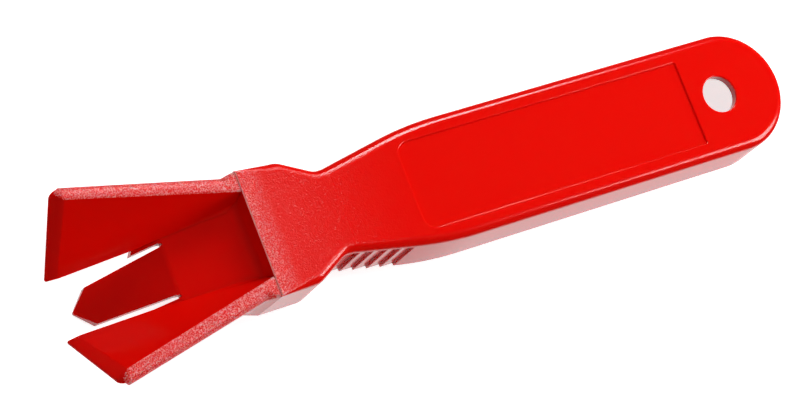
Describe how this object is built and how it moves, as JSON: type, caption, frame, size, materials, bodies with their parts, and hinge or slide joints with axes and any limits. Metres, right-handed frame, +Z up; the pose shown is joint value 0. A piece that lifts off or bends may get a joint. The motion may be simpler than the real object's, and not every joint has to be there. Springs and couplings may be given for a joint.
{
  "type": "caulk removal tool",
  "caption": "Moulded hand tool that scrapes out old caulk: hollow-backed handle with a ridged waist and a hanging hole, and a V-trough head with flared side blades beside a pointed tongue.",
  "frame": {"origin": "centre of the bottom of the bounding box, on the surface that the tool rests on with its handle's end and its tongue's point", "axes": "+X along the tool from the head to the hanging end, +Z up as it lies with the smooth top face upwards, +Y across the handle"},
  "size_m": [0.1942, 0.0482, 0.0299],
  "materials": {
    "red_plastic": "smooth moulded plastic, finely textured on the neck and along the rims of the side blades"
  },
  "bodies": {
    "root": {"scraper": "red_plastic"}
  },
  "joints": []
}
